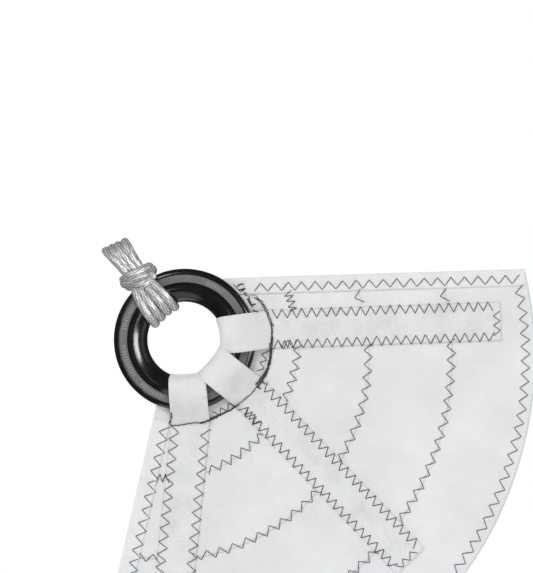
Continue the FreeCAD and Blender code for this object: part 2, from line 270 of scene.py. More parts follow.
def webbing():
    n = Nodes("webbing")
    lay = n.add("ShaderNodeAttribute", attribute_name="lay")
    place = n.add("ShaderNodeSeparateXYZ")
    n.link(lay.outputs["Vector"], place.inputs[0])
    weave = weave_height(n, place.outputs["X"], place.outputs["Y"], 1.3 * MM)
    soil = n.noise(70, 6, 0.65)
    fine = n.noise(900, 3, 0.7)
    base = n.ramp(soil, (0.28, grey(0.60, 0.01)), (0.52, grey(0.69, 0.01)), (0.8, grey(0.73, 0.01)))
    colour = n.mix(0.16, base, n.ramp(fine, (0.35, grey(0.3)), (0.65, grey(0.95))), "SOFT_LIGHT")
    normal = n.bump(n.noise(140, 4, 0.6), 0.3, 0.35 * MM)
    normal = n.bump(weave, 0.35, 0.12 * MM, normal)
    rough = n.math("MULTIPLY_ADD", soil, 0.15, 0.62)
    return n.finish(colour, rough, normal, Sheen_Weight=0.25)


def tape_cloth():
    n = Nodes("tape_cloth")
    place = n.add("ShaderNodeSeparateXYZ")
    n.link(n.add("ShaderNodeTexCoord").outputs["Object"], place.inputs[0])
    weave = weave_height(n, place.outputs["X"], place.outputs["Z"], 0.8 * MM)
    soil = n.noise(60, 6, 0.65)
    base = n.ramp(soil, (0.3, grey(0.68, 0.012)), (0.7, grey(0.77, 0.012)))
    fine = n.noise(800, 3, 0.7)
    colour = n.mix(0.14, base, n.ramp(fine, (0.35, grey(0.3)), (0.65, grey(0.95))), "SOFT_LIGHT")
    normal = n.bump(n.noise(160, 4, 0.6), 0.3, 0.3 * MM)
    normal = n.bump(weave, 0.2, 0.08 * MM, normal)
    rough = n.math("MULTIPLY_ADD", fine, 0.15, 0.6)
    return n.finish(colour, rough, normal, Sheen_Weight=0.2)


def thread_material(name, value):
    n = Nodes(name)
    fuzz = n.noise(2500, 3, 0.7)
    colour = n.ramp(fuzz, (0.3, grey(value * 0.55)), (0.7, grey(value * 1.7)))
    normal = n.bump(n.noise(3200, 2, 0.6), 0.5, 0.08 * MM)
    rough = n.math("MULTIPLY_ADD", fuzz, 0.25, 0.45)
    return n.finish(colour, rough, normal, Sheen_Weight=0.2)


def braid_material():
    n = Nodes("silver_braid")
    crest_and_shade = n.add("ShaderNodeAttribute", attribute_name="crest_and_shade").outputs["Fac"]
    lay = n.add("ShaderNodeAttribute", attribute_name="lay").outputs["Vector"]
    fibre = n.noise(2600, 4, 0.7, vector=lay, stretch=(1.0, 0.10, 1.0))
    strand = n.noise(420, 3, 0.6, vector=lay, stretch=(1.0, 0.25, 1.0))
    soil = n.noise(160, 5, 0.6)
    # painted shade: dark in the grooves between strands, lighter on their tops
    base = n.ramp(crest_and_shade, (0.0, grey(0.05)), (0.4, grey(0.37)), (0.9, grey(0.72)))
    colour = n.mix(0.85, base, n.ramp(fibre, (0.33, grey(0.06)), (0.66, grey(0.95))), "OVERLAY")
    colour = n.mix(0.7, colour, n.ramp(strand, (0.33, grey(0.08)), (0.66, grey(0.97))), "SOFT_LIGHT")
    colour = n.mix(0.3, colour, n.ramp(soil, (0.35, grey(0.2)), (0.65, grey(0.9))), "SOFT_LIGHT")
    normal = n.bump(fibre, 0.7, 0.12 * MM)
    rough = n.math("MULTIPLY_ADD", fibre, 0.3, 0.34)
    return n.finish(colour, rough, normal, Metallic=0.55)


def ring_material():
    """Black moulded plastic, polished, with a greyer, rougher stripe painted round each flat face as a
    painted reflection of a bright lamp.
    """
    n = Nodes("moulded_black")
    place = n.add("ShaderNodeSeparateXYZ")
    n.link(n.add("ShaderNodeTexCoord").outputs["Object"], place.inputs[0])
    square = [n.math("POWER", place.outputs[axis], 2.0) for axis in ("X", "Z")]
    radius = n.math("SQRT", n.math("ADD", *square))
    # painted reflection: a lighter grey stripe round each flat face, where a bright lamp would mirror
    reflection_band = n.math("COMPARE", radius, REFLECTION_BAND_RADIUS * MM, REFLECTION_BAND_HALF * MM)
    fine = n.noise(700, 4, 0.6)
    wear = n.noise(150, 6, 0.7)
    black = n.ramp(wear, (0.35, grey(0.004)), (0.75, grey(0.011)))
    painted_reflection = n.ramp(wear, (0.3, grey(0.135)), (0.7, grey(0.165)))
    colour = n.mix(reflection_band, black, painted_reflection)
    rough = n.math("MULTIPLY_ADD", wear, 0.16, 0.13)
    rough = n.math("MULTIPLY_ADD", reflection_band, 0.16, rough)
    normal = n.bump(fine, 0.08, 0.1 * MM)
    return n.finish(colour, rough, normal, Coat_Weight=0.35, Coat_Roughness=0.12)


def mark_material():
    n = Nodes("moulded_marks")
    fine = n.noise(900, 3, 0.6)
    colour = n.ramp(fine, (0.3, grey(0.30)), (0.7, grey(0.42)))
    return n.finish(colour, n.math("MULTIPLY_ADD", fine, 0.2, 0.4), n.bump(fine, 0.2, 0.05 * MM))


CLOTH, STRAP_CLOTH, TAPE_CLOTH = sailcloth(), webbing(), tape_cloth()
THREAD, WAXED = thread_material("sewing_thread", 0.045), thread_material("waxed_thread", 0.02)
BRAID, RING_BLACK, MARKS = braid_material(), ring_material(), mark_material()


# ---------------------------------------------------------------- camera, lights and floor
def make_camera():
    data = bpy.data.cameras.new("camera")
    data.lens, data.sensor_width = 100, 36
    data.clip_start, data.clip_end = 0.01, 20
    camera = bpy.data.objects.new("camera", data)
    camera.location = (43.1 * MM, -843.6 * MM, 28.1 * MM)
    camera.rotation_euler = (math.radians(90), 0, 0)
    bpy.context.scene.collection.objects.link(camera)
    bpy.context.scene.camera = camera


def make_lamp(name, place, target, wide, tall, watts, only_gloss=False, only_matt=False):
    """An area lamp aimed at a target. It can be seen in reflections only, or left out of them."""
    data = bpy.data.lights.new(name, "AREA")
    data.shape, data.size, data.size_y, data.energy = "RECTANGLE", wide, tall, watts
    lamp = bpy.data.objects.new(name, data)
    lamp.location = place
    lamp.rotation_euler = (Vector(target) - Vector(place)).to_track_quat("-Z", "Y").to_euler()
    lamp.visible_diffuse = not only_gloss
    lamp.visible_glossy = not only_matt
    bpy.context.scene.collection.objects.link(lamp)


def make_world():
    """White to the camera, a soft pale light on matt surfaces, and a dim room in glossy ones."""
    world = bpy.data.worlds.new("studio")
    world.use_nodes = True
    tree = world.node_tree
    output, path = tree.nodes["World Output"], tree.nodes.new("ShaderNodeLightPath")
    last = tree.nodes["Background"]
    last.inputs[0].default_value, last.inputs[1].default_value = (1, 1, 1, 1), 0.665
    for ray, strength in (("Is Glossy Ray", 0.05), ("Is Camera Ray", 1.0)):
        ground = tree.nodes.new("ShaderNodeBackground")
        ground.inputs[0].default_value, ground.inputs[1].default_value = (1, 1, 1, 1), strength
        mix = tree.nodes.new("ShaderNodeMixShader")
        tree.links.new(path.outputs[ray], mix.inputs[0])
        tree.links.new(last.outputs[0], mix.inputs[1])
        tree.links.new(ground.outputs[0], mix.inputs[2])
        last = mix
    tree.links.new(last.outputs[0], output.inputs[0])
    bpy.context.scene.world = world


def make_floor():
    """A pale round floor under the hanging corner.

    It is set to the right, so that the ring's lower left doesn't mirror it and stays dark.
    """
    n = Nodes("pale_floor")
    grain = n.noise(40, 4, 0.5)
    material = n.finish(n.ramp(grain, (0.3, grey(0.86)), (0.7, grey(0.9))), Roughness=0.8)
    below, aside, radius, sides = 12 * MM, 150 * MM, 0.25, 96
    middle = Vector((aside, 0, CAD_BOX[0][2] - below))
    vertices = [middle] + [
        middle + Vector((math.cos(a), math.sin(a), 0)) * radius
        for a in np.linspace(0, 2 * math.pi, sides, endpoint=False)
    ]
    faces = [[0, k + 1, (k + 1) % sides + 1] for k in range(sides)]
    floor = new_mesh("floor", vertices, faces)
    paint(floor, material)


def make_studio():
    make_camera()
    make_world()
    make_floor()
    make_lamp("key", (-0.5, -1.05, 0.75), (0.02, 0, 0), wide=0.5, tall=0.5, watts=6.2)
    make_lamp("fill", (0.55, -1.2, -0.35), (0.05, 0, 0), wide=0.5, tall=0.5, watts=3.0)
    middle = (0, 0, 0)
    make_lamp("crescent", (0.98, -0.85, 0.10), middle, wide=0.52, tall=0.62, watts=15.0, only_gloss=True)
    make_lamp("lip_line", (-0.30, -1.10, 0.02), middle, wide=0.05, tall=0.8, watts=0.9, only_gloss=True)
    make_lamp("left_strip", (-0.8, -0.12, 0.05), middle, wide=0.2, tall=0.6, watts=1.4, only_matt=True)
    make_lamp("rear", (0.3, 0.9, 0.6), (0.05, 0, 0), wide=0.8, tall=0.8, watts=7.5, only_matt=True)
    bpy.context.scene.view_settings.view_transform = "Standard"


# ---------------------------------------------------------------- the rope lashing
ROPE = 3.9
TURNS = 4
LOOP, BECKET = (RING_CORE, 12.5), (54.1, 8.0)  # centre and radius of the rope's line round ring and bar
LOOP_SQUASH = (0.93, 0.90, 0.94, 1.01)  # how deep each turn goes into the round bore, in radii of its loop
BECKET_STEP = 0.7  # how much further out each turn's outer loop lies than the one before
WAIST = (41.5, 4.7)  # reach of the pinched waist, and how far its front and back turns lie from the middle
JITTER = 0.45  # how far a turn may lie from its even place
BECKET_ASIDE, LOOP_ASIDE = 0.6, 0.9  # how far the loops at the bar and at the ring lie to the left
STAND_OUT = 1.03  # of the frapping's control points, so that its curve comes out round
FRAPPING = range(-219, 681, 31)  # degrees round the waist, from behind its left side to the front
ROPE_START = [(44.5, -3.0, 0.6), (47.0, -3.6, 3.8)]  # hidden inside the waist
ROPE_CROSSING = (43.4, 5.0, 7.6)  # from the last turn to the frapping, at the back
ROPE_END = (37.0, -7.2, -12.2)  # the cut end, at the front


def bend(centre, radius, start, end, steps):
    """Control points in (reach, depth) of a round stretch. They stand out so that the curve is round."""
    step = math.radians(end - start) / steps
    outer = radius / (0.75 + 0.25 * math.cos(step))
    angles = [math.radians(start) + step * k for k in range(steps + 1)]
    return [(centre + outer * math.cos(a), outer * math.sin(a)) for a in angles]


def waist_depth(reach):
    """How far in front of or behind the waist's middle the frapping lies, over the turns that it binds."""
    slope = 0.88 if reach < WAIST[0] else -0.48
    return WAIST[1] + slope * (WAIST[0] - reach) + 3.5


def spread(reach):
    """How far apart neighbouring turns lie: pinched under the frapping, fanned out at both ends."""
    if reach > 45:
        return 2.0 + 0.095 * (reach - 45)
    return min(4.5, 2.3 + 0.14 * max(0, WAIST[0] - reach))


def frapping_route():
    """The turns round the waist. They slide towards the ring, and furthest at the front and back."""
    start, slide, lean = 42.6, 2.0, 0.10
    dip, growth = 1.03, 1.68  # how far it sags to the ring at front and back, and how much more per turn
    narrow, swell = 8.1, 1.1  # its half width, and how much wider it is at its middle
    route = []
    for angle in FRAPPING:
        turn = (angle - 90) / 360
        girth = narrow + swell * math.exp(-(((turn - 0.4) / 0.45) ** 2))
        sine, across = math.sin(math.radians(angle)), -girth * math.cos(math.radians(angle))
        reach = start - slide * turn - (dip + growth * turn) * sine * sine + lean * across
        route.append((reach, across * STAND_OUT, waist_depth(reach) * sine * STAND_OUT))
    return route


def lashing_route():
    """The rope's points as (reach, across, depth), from its hidden start in the waist to its cut end."""
    jitter = random.Random(4)
    route = list(ROPE_START)
    for turn in range(TURNS):
        row = turn - (TURNS - 1) / 2
        squeeze = 0.4 if turn % 2 else -0.4
        shake = [jitter.uniform(-JITTER, JITTER) for _ in range(4)]
        loop = bend(BECKET[0] + BECKET_STEP * row, BECKET[1], 115, -115, 7)
        route += [(u, row * spread(u) + shake[2] + BECKET_ASIDE, y) for u, y in loop]
        route.append((WAIST[0], row * spread(WAIST[0]) + shake[3] / 2, -WAIST[1] - squeeze))
        loop = bend(*LOOP, -58, -302, 8)
        loop = [(LOOP[0] + LOOP_SQUASH[turn] * (u - LOOP[0]), y) for u, y in loop]
        route += [(u, row * spread(u) + shake[0] * abs(y) / 22 + LOOP_ASIDE, y) for u, y in loop]
        route.append((WAIST[0], row * spread(WAIST[0]) + shake[1], WAIST[1] + squeeze))
    return route + [ROPE_CROSSING] + frapping_route() + [ROPE_END]


def spline_points(points):
    """The line of the route's own smooth spline, as points in metres."""
    curve = bpy.data.curves.new("lashing_line", "CURVE")
    curve.dimensions, curve.resolution_u = "3D", 10
    spline = curve.splines.new("NURBS")
    spline.points.add(len(points) - 1)
    for knot, place in zip(spline.points, points):
        knot.co = (*place, 1)
    spline.order_u = 3
    spline.use_endpoint_u = True
    holder = bpy.data.objects.new("lashing_line", curve)
    bpy.context.scene.collection.objects.link(holder)
    mesh = bpy.data.meshes.new_from_object(holder.evaluated_get(bpy.context.evaluated_depsgraph_get()))
    line = np.array([v.co[:] for v in mesh.vertices])
    bpy.data.objects.remove(holder)
    bpy.data.meshes.remove(mesh)
    return line


def spaced(line, gap):
    """The line again, with its points a gap apart."""
    run = distances(line)
    marks = np.linspace(0, run[-1], max(2, int(run[-1] / gap)))
    return np.column_stack([np.interp(marks, run, line[:, k]) for k in range(3)]), marks


def braid(run, angle, radius):
    """A braid of nine strands each way, at places along and round a rope.

    Gives its height from 0 to 1, and a place along and across the strand on top, for its fibres.
    """
    strands, pitch, strand_width = 9, 30 * radius, 1.6
    one = strands * (angle / (2 * math.pi) + run / pitch)
    two = strands * (angle / (2 * math.pi) - run / pitch)
    over = (np.floor(one) + np.floor(two)) % 2 < 1
    top, under = np.where(over, one, two), np.where(over, two, one)
    height = np.sin(np.pi * (top % 1)) ** 0.7 * (0.45 + 0.55 * np.sin(np.pi * (under % 1)) ** 0.8)
    return height, top * strand_width * MM


def rope_tube(name, line, diameter, wide, around=48, gap=0.38 * MM, flatten=0.13):
    """A braided rope along a line, as one closed mesh with rounded cut ends.

    It is pressed a little flat, and is widest along wide, which is a vector for each point.
    """
    marks_before = distances(line)
    line, marks = spaced(line, gap)
    wide = np.column_stack([np.interp(marks, marks_before, wide[:, k]) for k in range(3)])
    tangents = np.gradient(line, axis=0)
    tangents /= np.linalg.norm(tangents, axis=1)[:, None]
    sides = wide - tangents * (wide * tangents).sum(axis=1)[:, None]
    sides /= np.linalg.norm(sides, axis=1)[:, None]
    ups = np.cross(tangents, sides)
    angles = np.linspace(0, 2 * math.pi, around, endpoint=False)
    radius = diameter / 2
    grid_run, grid_angle = np.meshgrid(marks, angles, indexing="ij")
    crest_and_shade, strand = braid(grid_run, grid_angle, radius)
    valley, relief = 0.92, 0.10
    reach = radius * (valley + relief * crest_and_shade)
    for end in (marks[0], marks[-1]):
        reach *= (1 - 0.5 * np.exp(-(((marks - end) / (0.35 * MM)) ** 2)))[:, None]
    rings = (
        line[:, None, :]
        + sides[:, None, :] * (reach * (1 + flatten) * np.cos(grid_angle))[:, :, None]
        + ups[:, None, :] * (reach * (1 - flatten) * np.sin(grid_angle))[:, :, None]
    )
    vertices = rings.reshape(-1, 3).tolist() + [line[0].tolist(), line[-1].tolist()]
    faces = grid_faces(len(line), around, wrap=True)
    first, last, start = len(vertices) - 2, len(vertices) - 1, (len(line) - 1) * around
    for k in range(around):
        following = (k + 1) % around
        faces.append([first, following, k])
        faces.append([last, start + k, start + following])
    piece = new_mesh(name, vertices, faces)
    # the strands' height, which the braid's material also paints as shade in the grooves
    store(piece, "crest_and_shade", np.concatenate([crest_and_shade.ravel(), [0.3, 0.3]]))
    lay = np.stack([strand, grid_run, 0 * grid_run], axis=2).reshape(-1, 3)
    store(piece, "lay", np.concatenate([lay, [[0, 0, 0], [0, marks[-1], 0]]]))
    return piece


def make_lashing():
    route = [turned(LASHING_AZIMUTH, *point) for point in lashing_route()]
    line = spline_points(route)
    run = distances(line)
    start = run[int(len(run) * (1 - len(FRAPPING) / len(route)))]
    frapped = smooth(start - 6 * MM, start + 6 * MM, run)[:, None]
    across, outwards = (np.array(turned(LASHING_AZIMUTH, *way)) for way in ((0, -1, 0), (1, 0, 0)))
    wide = across * (1 - frapped) + outwards * frapped
    rope = rope_tube("lashing_rope", line, ROPE * MM, wide)
    paint(rope, BRAID)
    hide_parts("lashing_turns", "lashing_frapping", "lashing_end")
    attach(rope, "lashing")


make_studio()
make_lashing()


# ---------------------------------------------------------------- the ring
def make_ring():
    """The moulded ring stays as it is designed. Small plain ticks stand on its front face."""
    ring = frame["nodes"]["thimble_ring"]
    paint(ring, RING_BLACK)
    groups, pitch, half_width = [(52, 70), (146, 172), (186, 216), (226, 250)], 2.6, 0.22
    corners = ((0, 1, 3, 2), (4, 6, 7, 5), (0, 4, 5, 1), (2, 3, 7, 6), (1, 5, 7, 3), (0, 2, 6, 4))
    vertices, faces = [], []
    for azimuth in np.concatenate([np.arange(first, last, pitch) for first, last in groups]):
        start = len(vertices)
        for reach in (31.3, 33.1):
            for across in (-half_width, half_width):
                for depth in (FLAT_FACE - 0.05, FLAT_FACE + 0.12):
                    vertices.append(turned(azimuth, reach, across, FRONT * depth))
        faces += [[start + n for n in corner] for corner in corners]
    marks = new_mesh("ring_ticks", vertices, faces, smooth_shading=False)
    paint(marks, MARKS)
    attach(marks, "thimble")


make_ring()


# ---------------------------------------------------------------- the sail corner's layers
def edge_line(edge):
    """A place on an edge of the cloth, the way along it and the way into the cloth."""
    offset, heading, out = edge
    outward = polar(1, heading + out)
    return outward * offset, polar(1, heading), -outward


def leave(place, way, centre, radius):
    """Where a line from place along way leaves a circle."""
    gap = place - np.array(centre)
    middle = gap.dot(way)
    return place + way * (-middle + math.sqrt(middle**2 - gap.dot(gap) + radius**2))


def arc_line(radius, first, last, centre=(0, 0), count=160):
    angles = np.radians(np.linspace(first, last, count))
    return np.column_stack([centre[0] + radius * np.cos(angles), centre[1] + radius * np.sin(angles)])


def ripple(x, z):
    """The cloth's own gentle waves, in millimetres along Y. They die away at the ring."""
    reach = np.hypot(x, z)
    waves = 0.55 * np.sin(x / 23 + z / 61 + 0.4) + 0.45 * np.sin(z / 29 - x / 47 + 1.7)
    waves = waves + 0.25 * np.sin((x + z) / 13.5)
    return waves * smooth(48, 120, reach)


def layers_at(x, z):
    """Half thickness of the cloth stack at a place, with soft steps at the patches' edges."""
    plies = 0
    for (centre_x, centre_z), radius in PATCHES.values():
        plies = plies + 1 - smooth(-STEP, STEP, np.hypot(x - centre_x, z - centre_z) - radius)
    return CORE_HALF + PLY * plies * smooth(-STEP, STEP, np.hypot(x, z) - PLY_INNER)


def tail_frame(name):
    """Root, way along and way across of a strap's tail."""
    azimuth, swing = STRAPS[name]
    return polar(TAIL_ROOT, azimuth), polar(1, azimuth + swing), polar(1, azimuth + swing + 90)


def surface_at(x, z):
    """Half thickness of everything that lies on the cloth at a place: stack, tapes and strap tails."""
    height = layers_at(x, z)
    place = np.stack([x, z], axis=-1)
    for edge, width in ((TOP_EDGE, TOP_TAPE), (SIDE_EDGE, SIDE_TAPE)):
        foot, _, inward = edge_line(edge)
        covered = 1 - smooth(-0.15, 0.15, (place - foot) @ inward - width)
        height = height + TAPE * covered * (np.hypot(x, z) > TAPE_INNER)
    for name in STRAPS:
        root, along, across = tail_frame(name)
        run, off = (place - root) @ along, np.abs((place - root) @ across)
        inside = (run > -0.4) & (run < TAIL_END - TAIL_ROOT + 0.3) & (off < STRAP_WIDTH / 2 + 0.15)
        height = np.where(inside, np.maximum(height, tail_level(x, z) + STRAP_THICK), height)
        azimuth = STRAPS[name][0]
        reach, off = place @ polar(1, azimuth), np.abs(place @ polar(1, azimuth + 90))
        rising = (reach > 34) & (reach < TAIL_ROOT + 0.4) & (off < STRAP_WIDTH / 2 + 0.15)
        rise = 0.92 if name == "diagonal" else 0.74
        slope = STACK + STRAP_THICK + rise * np.clip(TAIL_ROOT + 0.5 - reach, 0, 9)
        height = np.where(rising, np.maximum(height, slope), height)
    return height


def tail_level(x, z):
    """Where the underside of a strap's tail lies, just above the cloth stack, following the soft steps at the
    patches' edges.
    """
    return layers_at(x, z) + AIR


def cloth_grid(inner, outer, rows, columns):
    """Places between the corner's two edges, from an inner arc to an outer arc, each (centre, radius)."""
    top, top_way, _ = edge_line(TOP_EDGE)
    side, side_way, _ = edge_line(SIDE_EDGE)
    ends = []
    for centre, radius in (inner, outer):
        touching = leave(top, top_way, centre, radius), leave(side, side_way, centre, radius)
        first, last = (math.degrees(math.atan2(p[1] - centre[1], p[0] - centre[0])) for p in touching)
        ends.append(arc_line(radius, first, last, centre, columns))
    shares = np.linspace(0, 1, rows)[:, None, None]
    return ends[0][None] * (1 - shares) + ends[1][None] * shares


def slab(name, plan, low, high):
    """A closed sheet over a grid of (x, z) places, between two heights along Y given at each place."""
    rows, columns = plan.shape[:2]
    x, z = plan[..., 0], plan[..., 1]
    wave = ripple(x, z)
    sheets = [np.stack([x, wave + depth, z], axis=-1).reshape(-1, 3) * MM for depth in (low, high)]
    count = rows * columns
    faces = grid_faces(rows, columns) + grid_faces(rows, columns, start=count, flip=True)
    rim = [(0, j) for j in range(columns)] + [(i, columns - 1) for i in range(1, rows)]
    rim += [(rows - 1, j) for j in range(columns - 2, -1, -1)] + [(i, 0) for i in range(rows - 2, 0, -1)]
    rim = [i * columns + j for i, j in rim]
    for a, b in zip(rim, rim[1:] + rim[:1]):
        faces.append([b, a, a + count, b + count])
    return new_mesh(name, np.concatenate(sheets), faces)


def make_layer(node, inner, outer, low, high, rows, columns):
    plan = cloth_grid(((0, 0), inner), outer, rows, columns)
    piece = slab("cloth_" + node, plan, low, high)
    paint(piece, CLOTH)
    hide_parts(node)
    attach(piece, "sail_corner")


def make_cloth():
    make_layer("panel_core", CORE_INNER, (CORNER_CENTRE, CUT_RADIUS), -CORE_HALF, CORE_HALF, 90, 110)
    for face, sign in (("front", FRONT), ("back", BACK)):
        for number, patch in enumerate(("wide", "middle", "small")):
            near, far = CORE_HALF + number * PLY, CORE_HALF + (number + 1) * PLY
            low, high = sorted((sign * near, sign * far))
            rows = int(PATCHES[patch][1] / 2.4)
            make_layer(f"ply_{face}_{patch}", PLY_INNER, PATCHES[patch], low, high, rows, 96)


def make_tape(node, edge, width):
    """Tape folded over an edge of the cloth, as a closed strip that follows the layers inside it."""
    foot, along, inward = edge_line(edge)
    start = leave(foot, along, (0, 0), TAPE_INNER)
    end = leave(foot, along, CORNER_CENTRE, CUT_RADIUS)
    run = np.linspace(0, np.linalg.norm(end - start), 190)
    line = start + run[:, None] * along
    inside = line + inward * 1.0
    half = layers_at(inside[:, 0], inside[:, 1]) + AIR
    deep = np.linspace(width, 0.6, 7)
    turn = np.radians(np.linspace(80, -80, 7))
    outer, inner = [], []
    for grow, loop in ((TAPE, outer), (0.0, inner)):
        loop += [(w, 1.0, grow) for w in deep]
        loop += [(0.3 - (0.3 + grow) * math.cos(a), math.sin(a), grow) for a in turn]
        loop += [(w, -1.0, grow) for w in deep[::-1]]
    profile = outer + inner[::-1]
    rings = []
    for w, side, grow in profile:
        place = line + inward * w
        depth = side * (half + grow) + ripple(place[:, 0], place[:, 1])
        depth = depth + side * 0.05 * np.sin(run / 7.2 * 2 * math.pi) * (grow > 0)
        rings.append(np.stack([place[:, 0], depth, place[:, 1]], axis=-1))
    vertices = np.stack(rings, axis=1).reshape(-1, 3) * MM
    count = len(profile)
    faces = grid_faces(len(run), count, wrap=True)
    last = (len(run) - 1) * count
    for k in range(count // 2 - 1):
        quad = [k, k + 1, count - 2 - k, count - 1 - k]
        faces.append(quad)
        faces.append([last + n for n in reversed(quad)])
    piece = new_mesh("cloth_" + node, vertices, faces)
    paint(piece, TAPE_CLOTH)
    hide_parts(node)
    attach(piece, "sail_corner")


make_cloth()
make_tape("edge_tape_top", TOP_EDGE, TOP_TAPE)
make_tape("edge_tape_side", SIDE_EDGE, SIDE_TAPE)


# ---------------------------------------------------------------- the webbing straps
def strap_line(centre, radius, level):
    """The strap's ring side in (reach, depth), from the end of one tail through the bore to the other."""
    root = np.array([TAIL_ROOT, level])
    gap = root - np.array([centre, 0])
    spread = math.acos(radius / math.hypot(*gap))
    touch = math.degrees(math.atan2(gap[1], gap[0]) + spread)
    angles = np.radians(np.linspace(touch, 360 - touch, 46))
    arc = np.column_stack([centre + radius * np.cos(angles), radius * np.sin(angles)])
    descent = np.linspace(arc[0], root, 14)[1:-1]
    reaches = np.arange(TAIL_ROOT, TAIL_END + 0.5, 1.0)
    tail = np.column_stack([reaches, np.full(len(reaches), level)])
    one = np.concatenate([tail[::-1], descent[::-1]])
    line = np.concatenate([one, arc, (one * [1, -1])[::-1]])
    for _ in range(3):
        line[1:-1] = 0.25 * line[:-2] + 0.5 * line[1:-1] + 0.25 * line[2:]
    return line


def make_strap(name, radius, throat, push, halves):
    """One strap. In the bore it is pushed towards the ring, drawn narrower and pressed thinner.

    radius is its bend round the ring, throat its thickness in the bore, push how far its edges and
    its middle are pushed there, and halves its half widths there, on the side of lower and higher azimuth.
    """
    azimuth, swing = STRAPS[name]
    line = strap_line(STRAP_BEND, radius, STACK)
    steps = np.gradient(line, axis=0)
    steps /= np.linalg.norm(steps, axis=1)[:, None]
    normals = np.column_stack([-steps[:, 1], steps[:, 0]])
    middle = len(line) // 2
    if normals[middle] @ [-1, 0] < 0:
        normals = -normals
    run = distances(line)
    bore = np.exp(-((line[:, 1] / 5.5) ** 2)) * (line[:, 0] < STRAP_BEND)
    profile = [(f * 0.965, 1.0) for f in np.linspace(-1, 1, 15)] + [(1.0, 0.72), (1.0, 0.28)]
    profile += [(f * 0.965, 0.0) for f in np.linspace(1, -1, 15)] + [(-1.0, 0.28), (-1.0, 0.72)]
    heading = np.radians(swing) * smooth(TAIL_ROOT - 6, TAIL_ROOT + 6, line[:, 0])
    along, across = line[:, 0].copy(), np.zeros(len(line))
    for way, last in ((1, len(line) - 1), (-1, 0)):
        for k in range(middle, last, way):
            step, mean = line[k + way, 0] - line[k, 0], (heading[k] + heading[k + way]) / 2
            along[k + way] = along[k] + step * math.cos(mean)
            across[k + way] = across[k] + step * math.sin(mean)
    (cx, cz), (sx, sz) = polar(1, azimuth), polar(1, azimuth + 90)
    vertices, lay = [], []
    for k in range(len(line)):
        for share, lift in profile:
            half = STRAP_WIDTH / 2 + (halves[int(share > 0)] - STRAP_WIDTH / 2) * bore[k]
            off = share * half
            bow = (push[0] + (push[1] - push[0]) * (1 - share**2)) * bore[k]
            grow = lift * (STRAP_THICK + (throat - STRAP_THICK) * bore[k])
            u = along[k] + normals[k, 0] * grow + bow - off * math.sin(heading[k])
            t = across[k] + off * math.cos(heading[k])
            x, z = u * cx + t * sx, u * cz + t * sz
            y = line[k, 1] + normals[k, 1] * grow
            settle = float(smooth(48, 60, line[k, 0]))
            if settle > 0:
                drop = (STACK - float(tail_level(x, z))) * settle
                y += (drop if y < 0 else -drop) + float(ripple(x, z))
            vertices.append((x * MM, y * MM, z * MM))
            lay.append((off * MM, run[k] * MM, 0))
    count = len(profile)
    faces = grid_faces(len(line), count, wrap=True)
    faces.append(list(range(count))[::-1])
    faces.append([(len(line) - 1) * count + n for n in range(count)])
    piece = new_mesh("webbing_" + name, vertices, faces)
    store(piece, "lay", lay)
    paint(piece, STRAP_CLOTH)
    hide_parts("strap_" + name)
    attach(piece, "sail_corner")


make_strap("upper", radius=9.95, throat=0.7, push=(1.2, 2.75), halves=(7.2, 8.0))
make_strap("lower", radius=9.95, throat=0.7, push=(1.2, 2.75), halves=(8.0, 7.2))
make_strap("diagonal", radius=11.15, throat=0.7, push=(1.05, 2.35), halves=(9.2, 9.2))


# ---------------------------------------------------------------- machine stitching
MACHINE_THREAD, WHIPPING_THREAD, THIN_THREAD, HAND_THREAD = 0.21, 0.34, 0.25, 0.33  # radii


def thread_piece(name, runs, radius, material):
    """Many runs of thread, each a list of places in metres, as one curve object."""
    curve = bpy.data.curves.new(name, "CURVE")
    curve.dimensions = "3D"
    curve.bevel_depth, curve.bevel_resolution, curve.use_fill_caps = radius * MM, 2, True
    for run in runs:
        spline = curve.splines.new("POLY")
        spline.points.add(len(run) - 1)
        for knot, place in zip(spline.points, run):
            knot.co = (*place, 1)
            knot.radius = 1.0
    piece = bpy.data.objects.new(name, curve)
    bpy.context.scene.collection.objects.link(piece)
    paint(piece, material)
    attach(piece, "sail_corner")
    return piece


def on_surface(places, face, lift):
    """Places on a face of the corner, lifted off it, in metres."""
    places = np.asarray(places, float)
    height = surface_at(places[:, 0], places[:, 1]) + lift
    depth = face * height + ripple(places[:, 0], places[:, 1])
    return np.column_stack([places[:, 0], depth, places[:, 1]]) * MM


def zigzag(line, width, period, face, rng, start_left=True):
    """A zigzag of thread along a line of (x, z) places: down at each needle hole, up between them."""
    line = np.asarray(line, float)
    run = distances(line)
    marks = np.arange(0, run[-1], period / 2)
    middle = np.column_stack([np.interp(marks, run, line[:, k]) for k in range(2)])
    way = np.gradient(middle, axis=0)
    way /= np.linalg.norm(way, axis=1)[:, None]
    across = np.column_stack([-way[:, 1], way[:, 0]])
    sides = np.where((np.arange(len(marks)) + start_left) % 2, 0.5, -0.5) * width
    sides += np.array([rng.uniform(-0.18, 0.18) for _ in marks])
    shift = np.array([rng.uniform(-0.25, 0.25) for _ in marks])
    holes = middle + across * sides[:, None] + way * shift[:, None]
    places, lifts = [holes[0]], [-0.05]
    for a, b in zip(holes, holes[1:]):
        for share, lift in ((0.12, 0.16), (0.5, 0.22), (0.88, 0.16)):
            places.append(a + (b - a) * share)
            lifts.append(lift)
        places.append(b)
        lifts.append(0.02)
    return on_surface(places, face, np.array(lifts))


def inside_straps(place, margin):
    for name in STRAPS:
        root, along, across = tail_frame(name)
        run, off = (place - root) @ along, abs((place - root) @ across)
        if -6 < run < TAIL_END - TAIL_ROOT + margin and off < STRAP_WIDTH / 2 + margin:
            return True
    return False


